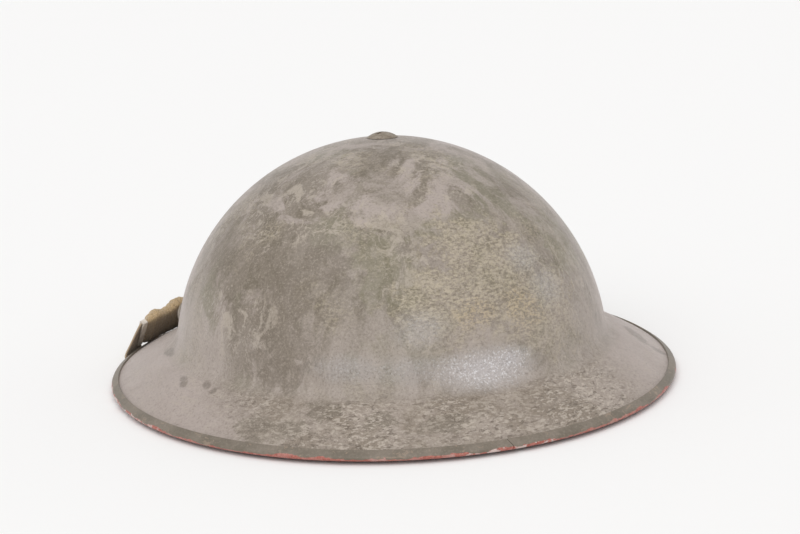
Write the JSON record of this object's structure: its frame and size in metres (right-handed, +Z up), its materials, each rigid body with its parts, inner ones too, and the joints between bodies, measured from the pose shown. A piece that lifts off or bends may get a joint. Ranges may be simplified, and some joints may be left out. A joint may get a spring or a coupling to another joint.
{
  "type": "steel helmet",
  "caption": "Shallow round-crowned steel helmet with a wide sloping brim, folded rim strip, oilcloth liner on crossed bands and a sprung webbing chinstrap laid up over the front.",
  "frame": {"origin": "under the middle of the helmet, level with the lowest point of the strap under the rim", "axes": "+Z up, the front of the helmet faces -Y, the wearer's left is +X"},
  "size_m": [0.292, 0.305, 0.1248],
  "materials": {
    "shell_paint": "matt, textured, worn grey-olive paint",
    "rim_paint": "smoother dark olive paint, worn red on the lower fold",
    "fastener_paint": "painted over with the shell",
    "band_steel": "dull, lightly rusted steel",
    "fitting_steel": "dull plated steel",
    "spring_steel": "dull spring wire",
    "rivet_brass": "tarnished",
    "webbing": "plain woven cotton",
    "sleeve_cloth": "gathered cotton tape, soiled underneath",
    "fibre": "dark pressed fibre",
    "rubber": "aged black rubber",
    "felt": "grey-brown felt",
    "oilcloth": "black coated cloth, slight sheen",
    "lace": "round cotton cord"
  },
  "bodies": {
    "helmet": {"shell": "shell_paint", "rim_strip": "rim_paint", "crown_screw": "fastener_paint", "crown_spacer": "felt", "crown_washer": "band_steel", "crown_nut": "band_steel", "chinstrap_lug_left": "fitting_steel", "chinstrap_lug_right": "fitting_steel", "lug_rivets": "fastener_paint", "strap_end_webbing_left": "webbing", "strap_end_webbing_right": "webbing", "outer_crimp_left": "fitting_steel", "outer_crimp_right": "fitting_steel", "sprung_sleeve_left": "sleeve_cloth", "sprung_sleeve_right": "sleeve_cloth", "upper_spring_left": "spring_steel", "upper_spring_right": "spring_steel", "lower_spring_left": "spring_steel", "lower_spring_right": "spring_steel", "liner_band": "fibre", "band_joint_plate": "fibre", "band_joint_rivets": "rivet_brass", "head_cover": "oilcloth", "head_cover_rivets": "rivet_brass", "cross_band_long": "band_steel", "cross_band_wide": "band_steel", "buffer_left": "rubber", "buffer_rear": "rubber", "buffer_right": "rubber", "buffer_front": "rubber", "buffer_rivets": "rivet_brass", "crown_pad": "felt", "tongue_1": "oilcloth", "tongue_2": "oilcloth", "tongue_3": "oilcloth", "tongue_4": "oilcloth", "tongue_5": "oilcloth", "tongue_6": "oilcloth", "tongue_7": "oilcloth", "tongue_8": "oilcloth", "draw_lace": "lace"},
    "left_loop": {"strap_loop_left": "fitting_steel"},
    "right_loop": {"strap_loop_right": "fitting_steel"},
    "strap_front": {"centre_webbing": "webbing", "inner_crimp_left": "fitting_steel", "inner_crimp_right": "fitting_steel"}
  },
  "joints": [
    {"name": "left_loop_swing", "type": "hinge", "parent": "helmet", "child": "left_loop", "pos_m": [0.10312, -0.0309, 0.02451], "axis": [0.2647, 0.9643, 0], "range_deg": [-10, 60], "deforming": ["strap_end_webbing_left"]},
    {"name": "right_loop_swing", "type": "hinge", "parent": "helmet", "child": "right_loop", "pos_m": [-0.10312, -0.0309, 0.02451], "axis": [0.2647, -0.9643, 0], "range_deg": [-10, 60], "deforming": ["strap_end_webbing_right"]},
    {"name": "strap_stretch", "type": "slide", "parent": "helmet", "child": "strap_front", "axis": [0, -1, 0], "range_m": [0, 0.025], "stiffness_N_per_m": 200, "deforming": ["sprung_sleeve_left", "sprung_sleeve_right", "upper_spring_left", "upper_spring_right", "lower_spring_left", "lower_spring_right"]}
  ]
}
